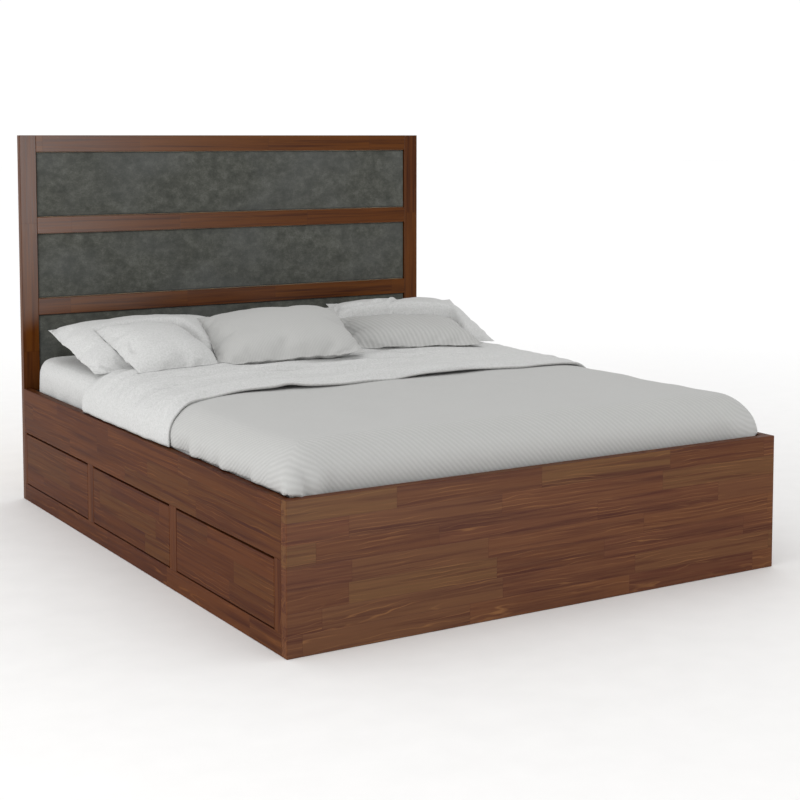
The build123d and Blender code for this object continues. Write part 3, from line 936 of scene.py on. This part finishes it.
def smoothed(piece, field, rounds):
    """Spreads a value per vertex along the mesh's edges."""
    edges = np.zeros(len(piece.data.edges) * 2, np.int64)
    piece.data.edges.foreach_get("vertices", edges)
    first, second = edges.reshape(-1, 2).T
    share = np.bincount(np.r_[first, second], minlength=len(field)).astype(float)
    share = np.maximum(share, 1)[:, None]
    for _ in range(rounds):
        total = np.zeros_like(field)
        for axis in range(field.shape[1]):
            weights = np.r_[field[second, axis], field[first, axis]]
            total[:, axis] = np.bincount(np.r_[first, second], weights, len(field))
        field = 0.5 * field + 0.5 * total / share
    return field


def press(points, tree, up):
    """Pushes points that are in or above a pillow down to just below it."""
    pressed = points.copy()
    up = Vector(up)
    for number, point in enumerate(points):
        start = Vector(point) - up * RAY_START
        place, _, _, distance = tree.ray_cast(start, up, 2 * RAY_START)
        if place is not None and distance < RAY_START + PILLOW_GAP:
            pressed[number] = place - up * PILLOW_GAP
    return pressed


def tucked(points, place, length, depth, angle, width):
    """Presses a tuck into the upper side of a pillow, with a low fold beside it."""
    turn = math.radians(angle)
    offset = points[:, :2] - place
    along = offset @ (math.cos(turn), math.sin(turn))
    beside = offset @ (-math.sin(turn), math.cos(turn))
    across = np.exp(-((beside / width) ** 2)) - 0.7 * np.exp(-((beside / width - 1.7) ** 2))
    tuck = across * np.exp(-((along / length) ** 2))
    points[:, 2] -= depth * tuck * (points[:, 2] > 0)
    return points


def rest_on(points, trees):
    """Lifts points that are under the bedding's surface up to it."""
    lifted = points.copy()
    down = Vector((0, 0, -1))
    for number, point in enumerate(points):
        for tree in trees:
            place = tree.ray_cast(Vector((point[0], point[1], OVERHEAD)), down, OVERHEAD)[0]
            if place is not None and lifted[number, 2] < place.z + PILLOW_GAP:
                lifted[number, 2] = place.z + PILLOW_GAP
    return lifted


def pillow_rotation(turn, tilt, roll):
    """The rotation that turns a pillow about the vertical, tilts its back up, and rolls it."""
    rotation = Matrix.Identity(3)
    for angle, axis in zip((turn, tilt, roll), "ZXY"):
        rotation = rotation @ Matrix.Rotation(math.radians(angle), 3, axis)
    return rotation


def make_pillows(bedding):
    """The pillows, topmost first, so that each one is dented by those that lie on it."""
    step = 0.0105
    trees, ups = {}, {}
    bedding_trees = [tree_of(piece) for piece in bedding]
    for name, pressers in PRESSED_BY.items():
        centre, angles, outline, heights, fill, waist, slump = PILLOWS[name]
        piece = filled_case(f"{name}_pillow", outline, heights, waist, slump, step)
        crease(piece)
        subdivide = piece.modifiers.new("smooth", "SUBSURF")
        subdivide.levels = 1
        apply_modifiers(piece)
        points = get_points(piece)
        for place, *shape in TUCKS.get(name, ()):
            points = tucked(points, np.array(place) * outline / 2, *shape)
        rotation = pillow_rotation(*angles)
        points = points @ np.array(rotation).T + centre
        up = rotation @ Vector((0, 0, 1))
        # Twice, because the smoothing takes some points back into what they rest on
        for _ in range(2):
            pressed = points
            for presser in pressers:
                pressed = press(pressed, trees[presser], ups[presser])
            pressed = rest_on(pressed, bedding_trees)
            points = points + smoothed(piece, pressed - points, 6)
        for presser in pressers:
            points = press(points, trees[presser], ups[presser])
        points = rest_on(points, bedding_trees)
        set_points(piece, points)
        piece.data.materials.append(MATERIALS[OWN_LOOKS.get(name, FABRICS[name])])
        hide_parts(f"pillow_{name}")
        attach(piece, "bed")
        trees[name], ups[name] = tree_of(piece), up


# ---------------------------------------------------------------- headboard pads

PAD_ROLL = 0.006
PAD_CROWN = 0.0035
# Roll, crown and relief together, so that the face just reaches the CAD pad's front
PAD_RISE = 0.0105


def stations(length, count):
    """Evenly spaced places, with extra ones round the rolled edge."""
    edge = PAD_ROLL * (1 - np.cos(np.linspace(0, math.pi / 2, 5)))
    evenly = np.linspace(2 * PAD_ROLL, length - 2 * PAD_ROLL, count)
    return np.r_[edge, evenly, (length - edge)[::-1]]


def make_pad(row, seed):
    """A velvet pad: flat in front with a soft crown, and rolled in at its edges."""
    low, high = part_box(f"headboard_pad_{row}")
    size = high - low
    step = 0.012
    across, up = stations(size.x, int(size.x / step)), stations(size.z, int(size.z / step))
    x, z = np.meshgrid(across, up)
    inward = np.minimum.reduce([x, size.x - x, z, size.z - z])
    rolled = np.sqrt(1 - (1 - np.clip(inward / PAD_ROLL, 0, 1)) ** 2)
    crown = ease(inward, 0, 0.07)
    places = np.stack([x, z], -1)
    relief = 0.0007 * ripples(places, 0.25, seed) + 0.0004 * ripples(places, 0.07, seed + 9)
    depth = PAD_ROLL * rolled + PAD_CROWN * crown + relief * crown
    front = np.stack([low.x + x, low.y + PAD_RISE - depth, low.z + z], -1)
    back = np.stack([low.x + x, np.full_like(x, high.y), low.z + z], -1)
    points = np.concatenate([front.reshape(-1, 3), back.reshape(-1, 3)])
    faces = np.concatenate(slab_faces(*x.shape))
    pad = new_piece(f"velvet_pad_{row}", points, faces, (MATERIALS["velvet"],))
    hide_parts(f"headboard_pad_{row}")
    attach(pad, "bed")


# ---------------------------------------------------------------- finishes of the CAD nodes


def dress(node, material):
    """Puts one material in all of a CAD node's slots."""
    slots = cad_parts[node].material_slots
    for slot in slots:
        slot.material = material
    if not slots:
        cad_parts[node].data.materials.append(material)


# The frame's sides get a darker tint than the footboard: painted shade that offsets the key light
# from the left
AS_STAINED, FOOT_TINT, SIDE_PAINTED_SHADE = "ffffff", "fffaf4", "dcc4a6"


def dress_walnut():
    """Stained boards, with a darker tint on the frame's sides that is painted shade. Each row says
    where the grain runs, how the staves lie, and the finish.
    """
    rail_low, rail_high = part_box("headboard_top_rail")
    rail_height = rail_high.z - rail_low.z
    rail_pitch = (rail_high.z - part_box("headboard_cross_rails")[0].z - rail_height) / 3
    front_low, front_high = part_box("drawer_front_left_middle")
    front_stave = (front_high.z - front_low.z) / 3
    plinth_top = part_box("plinth_rail_left")[1].z
    board_low = SIDE_BOARD_LOW.z
    board_stave = (BOARD_TOP - board_low) / 3
    foot_stave = FOOTBOARD_HIGH.z / 7
    # The staves of rails, stiles and posts start this far beside them: no glue line falls on them
    margin = 0.1
    rails = ("X", "Z", rail_pitch, rail_low.z - margin, HEAD_Y, RAIL_WALNUT, 7, "gloss", AS_STAINED)
    walnut = {
        "footboard": ("X", "Z", foot_stave, 0, FOOTBOARD_LOW.y, WALNUT, 3, "satin", FOOT_TINT),
        "headboard_base_board": ("X", "Z", 0.053, 0.06, HEAD_Y, WALNUT, 5, "satin", AS_STAINED),
        "headboard_top_rail": rails,
        "headboard_cross_rails": rails,
    }
    for side in ("left", "right"):
        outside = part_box(f"side_board_{side}")[0].x
        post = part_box(f"headboard_post_{side}")[0].x
        sides = {
            f"side_board_{side}": ("Y", "Z", board_stave, board_low, 11),
            f"plinth_rail_{side}": ("Y", "Z", plinth_top, 0, 17),
            f"stiles_{side}": ("Z", "Y", 0.3, FOOT_Y - margin, 23),
            f"drawer_front_{side}_head": ("Y", "Z", front_stave, front_low.z, 31),
            f"drawer_front_{side}_middle": ("Y", "Z", front_stave, front_low.z, 35),
            f"drawer_front_{side}_foot": ("Y", "Z", front_stave, front_low.z, 39),
        }
        for node, (*staves, seed) in sides.items():
            # The sides take the darker tint that is painted shade
            walnut[node] = (*staves, outside, WALNUT, seed, "satin", SIDE_PAINTED_SHADE)
        walnut[f"headboard_post_{side}"] = (
            "Z", "X", 1.0, post - margin, HEAD_Y, RAIL_WALNUT, 29, "gloss", AS_STAINED
        )
    for node, settings in walnut.items():
        dress(node, glued_wood(f"walnut_{node}", *settings))


def dress_inside():
    """Bare pine, birch ply and steel."""
    lengthwise = glued_wood("pine_lengthwise", "Y", "Z", 0.06, 0, 0, PINE, 41, "bare")
    crosswise = glued_wood("pine_crosswise", "X", "Z", 0.06, 0, 0, PINE, 43, "bare")
    slat_pine = glued_wood("pine_slat", "X", "Y", 0.136, FOOT_Y, 0.3, PINE, 47, "bare")
    ply, zinc = plywood("birch_plywood"), zinc_steel("zinc_steel")
    # By the start of the node's name
    finishes = {
        "centre_panel": lengthwise,
        "slat_ledgers": lengthwise,
        "partitions": crosswise,
        "slats": slat_pine,
        "headboard_pad_boards": ply,
        "bracket_screws": zinc,
        "corner_brackets": coated_steel("black_steel"),
        "slide_": zinc,
        "drawer_walls_": crosswise,
        "drawer_bottom_": ply,
    }
    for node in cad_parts:
        for start, material in finishes.items():
            if node.startswith(start):
                dress(node, material)


# ---------------------------------------------------------------- the whole scene

MATERIALS = {
    "velvet": velvet("grey_velvet"),
    "white_speckled_cotton": speckled_cotton("speckled_cotton"),
    # In each ribbed cotton the first two tones are painted shade in the rib hollows and painted
    # light on the crests; the third is the slubs
    "grey_ribbed_cotton": ribbed_cotton(
        "ribbed_cotton", 0.0125, 42, ("aeaeac", "b6b6b4", "aeaead"), 0.0007
    ),
    "cross_ribbed_cotton": ribbed_cotton(
        "cross_ribbed_cotton", 0.017, 8, ("aaaaa8", "b5b5b3", "afafad"), 0.001
    ),
    "grey_striped_cotton": ribbed_cotton(
        "striped_cotton", 0.008, -38, ("adadab", "b2b2b0", "adadab"), 0.0003
    ),
}

make_camera()
make_studio()
dress_walnut()
dress_inside()
for seed, row in enumerate(("top", "middle", "bottom"), start=20):
    make_pad(row, seed)
sheet = make_mattress()
duvet = make_duvet()
make_pillows((sheet, duvet))
